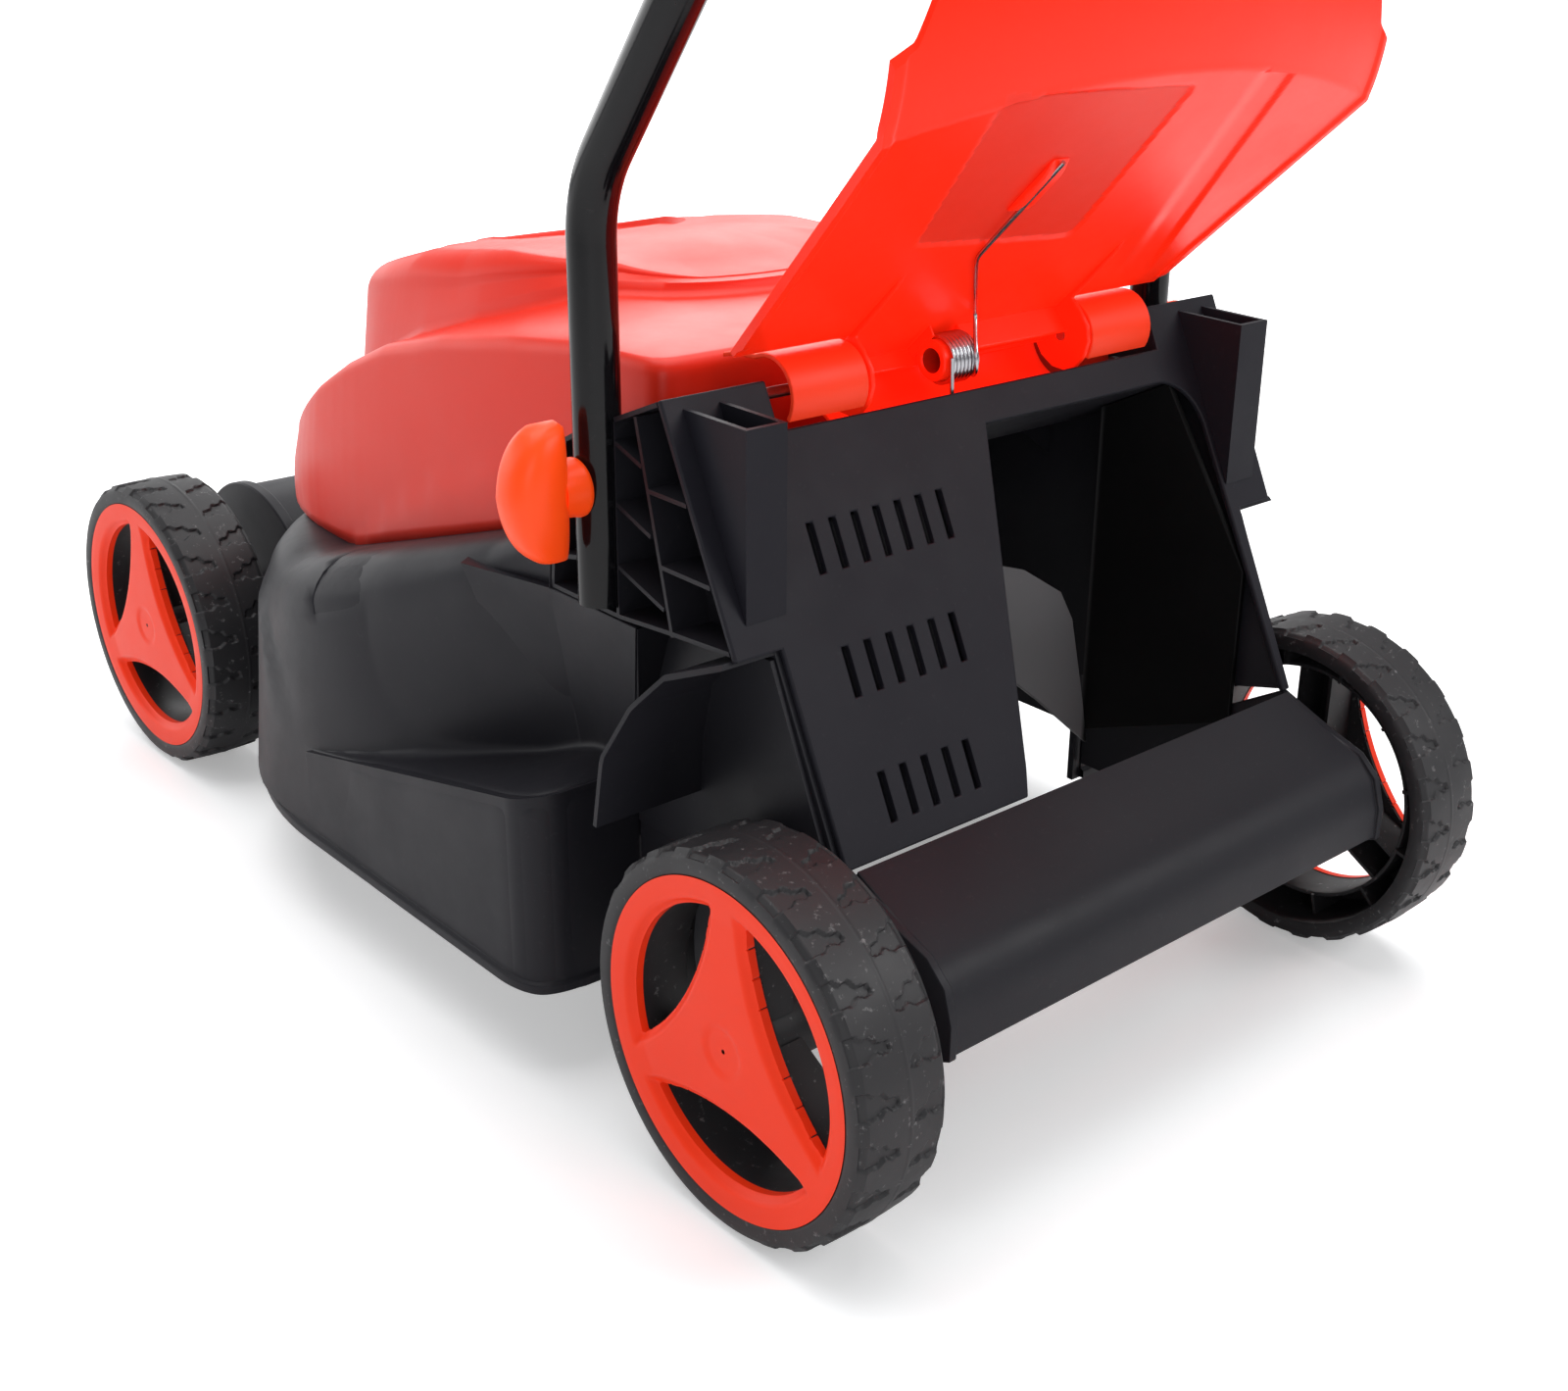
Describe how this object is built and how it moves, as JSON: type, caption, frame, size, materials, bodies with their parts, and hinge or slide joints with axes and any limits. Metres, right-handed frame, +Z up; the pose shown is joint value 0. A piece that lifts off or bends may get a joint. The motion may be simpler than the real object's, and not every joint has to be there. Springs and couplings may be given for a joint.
{
  "type": "push lawn mower",
  "caption": "Push lawn mower with a round blade deck, four wheels, rear discharge flap standing open and a folding tubular handle with bail switch.",
  "frame": {"origin": "on the ground under the middle of the whole mower", "axes": "+X to the right of the person pushing, +Y forward, +Z up"},
  "size_m": [0.4836, 1.0036, 1.0159],
  "materials": {
    "deck_plastic": "moulded, fine grain",
    "tyre_black": "moulded tread, satin sides",
    "orange_cap": "satin moulded",
    "orange_cover": "satin moulded",
    "orange_flap": "satin moulded, slightly translucent",
    "orange_knob": "satin moulded",
    "tube_paint": "gloss powder coat",
    "axle_steel": "zinc plated",
    "spring_steel": "bright wire",
    "grip_foam": "closed foam",
    "switch_plastic": "moulded",
    "pin_brass": "plain",
    "motor_iron": "laminated",
    "cast_alloy": "die cast",
    "fan_plastic": "moulded",
    "blade_steel": "black steel with ground edges"
  },
  "bodies": {
    "chassis": {"deck_housing": "deck_plastic", "chute_baffles": "deck_plastic", "rear_panel": "deck_plastic", "handle_bracket_left": "deck_plastic", "handle_bracket_right": "deck_plastic", "catcher_posts": "deck_plastic", "wheel_arches": "deck_plastic", "rear_axle_cover": "deck_plastic", "front_axle_housing": "deck_plastic", "rear_axle": "axle_steel", "front_axle": "axle_steel", "axle_nuts": "axle_steel", "motor_cover": "orange_cover", "hinge_covers": "orange_cover", "hinge_pins": "axle_steel", "lower_tube_left": "tube_paint", "lower_tube_right": "tube_paint", "knob_bolts": "axle_steel", "motor_end_bracket_lower": "cast_alloy", "motor_end_bracket_upper": "cast_alloy", "shaft_bearings": "axle_steel", "stator_stack": "motor_iron", "stator_windings": "pin_brass", "motor_screws": "axle_steel", "run_capacitor": "cast_alloy", "capacitor_clamp": "axle_steel", "terminal_block": "switch_plastic", "cover_screws": "axle_steel"},
    "flap": {"rear_flap": "orange_flap", "flap_spring": "spring_steel"},
    "handle": {"upper_handle": "tube_paint", "handle_grip": "grip_foam", "bail_pins": "axle_steel", "switch_case_front": "switch_plastic", "switch_case_rear": "switch_plastic", "micro_switch": "switch_plastic", "mains_inlet": "switch_plastic", "inlet_pins": "pin_brass", "cord_hook": "switch_plastic"},
    "bail": {"bail_lever": "tube_paint"},
    "button": {"lock_button": "orange_knob"},
    "rotor": {"rotor_core": "motor_iron", "motor_shaft": "axle_steel", "cooling_fan": "fan_plastic", "blade_carrier": "fan_plastic", "cutting_blade": "blade_steel", "blade_bolt": "axle_steel", "blade_washer": "axle_steel"},
    "wheel_rear_left_turning": {"wheel_rear_left": "tyre_black", "wheel_cap_rear_left": "orange_cap"},
    "wheel_rear_right_turning": {"wheel_rear_right": "tyre_black", "wheel_cap_rear_right": "orange_cap"},
    "wheel_front_left_turning": {"wheel_front_left": "tyre_black", "wheel_cap_front_left": "orange_cap"},
    "wheel_front_right_turning": {"wheel_front_right": "tyre_black", "wheel_cap_front_right": "orange_cap"},
    "lower_knob_left_turning": {"lower_knob_left": "orange_knob"},
    "lower_knob_right_turning": {"lower_knob_right": "orange_knob"},
    "upper_knob_left_turning": {"upper_knob_left": "orange_knob"},
    "upper_knob_right_turning": {"upper_knob_right": "orange_knob"}
  },
  "joints": [
    {"name": "rear_left_wheel_spin", "type": "hinge", "parent": "chassis", "child": "wheel_rear_left_turning", "pos_m": [0, -0.15915, 0.085], "axis": [1, 0, 0], "continuous": true},
    {"name": "rear_right_wheel_spin", "type": "hinge", "parent": "chassis", "child": "wheel_rear_right_turning", "pos_m": [0, -0.15915, 0.085], "axis": [1, 0, 0], "continuous": true},
    {"name": "front_left_wheel_spin", "type": "hinge", "parent": "chassis", "child": "wheel_front_left_turning", "pos_m": [0, 0.41685, 0.085], "axis": [1, 0, 0], "continuous": true},
    {"name": "front_right_wheel_spin", "type": "hinge", "parent": "chassis", "child": "wheel_front_right_turning", "pos_m": [0, 0.41685, 0.085], "axis": [1, 0, 0], "continuous": true},
    {"name": "lower_left_knob_turn", "type": "hinge", "parent": "chassis", "child": "lower_knob_left_turning", "pos_m": [0, -0.03615, 0.283], "axis": [1, 0, 0], "continuous": true},
    {"name": "lower_right_knob_turn", "type": "hinge", "parent": "chassis", "child": "lower_knob_right_turning", "pos_m": [0, -0.03615, 0.283], "axis": [1, 0, 0], "continuous": true},
    {"name": "upper_left_knob_turn", "type": "hinge", "parent": "chassis", "child": "upper_knob_left_turning", "pos_m": [0, -0.22608, 0.64853], "axis": [1, 0, 0], "continuous": true},
    {"name": "upper_right_knob_turn", "type": "hinge", "parent": "chassis", "child": "upper_knob_right_turning", "pos_m": [0, -0.22608, 0.64853], "axis": [1, 0, 0], "continuous": true},
    {"name": "flap_hinge", "type": "hinge", "parent": "chassis", "child": "flap", "pos_m": [0, -0.07115, 0.318], "axis": [1, 0, 0], "range_deg": [-12, 106], "stiffness_Nm_per_rad": 0.12, "springref_deg": 107.72, "deforming": ["flap_spring"]},
    {"name": "handle_fold", "type": "hinge", "parent": "chassis", "child": "handle", "pos_m": [0, -0.22608, 0.64853], "axis": [1, 0, 0], "range_deg": [-150, 0]},
    {"name": "bail_squeeze", "type": "hinge", "parent": "handle", "child": "bail", "pos_m": [0, -0.44524, 0.93413], "axis": [1, 0, 0], "range_deg": [0, 9], "stiffness_Nm_per_rad": 0.9, "springref_deg": -20.05},
    {"name": "button_press", "type": "slide", "parent": "handle", "child": "button", "axis": [0, 0.7934, 0.6088], "range_m": [0, 0.005], "stiffness_N_per_m": 300, "springref_m": -0.002},
    {"name": "rotor_spin", "type": "hinge", "parent": "chassis", "child": "rotor", "pos_m": [0, 0.17585, 0.085], "axis": [0, 0, 1], "continuous": true}
  ]
}
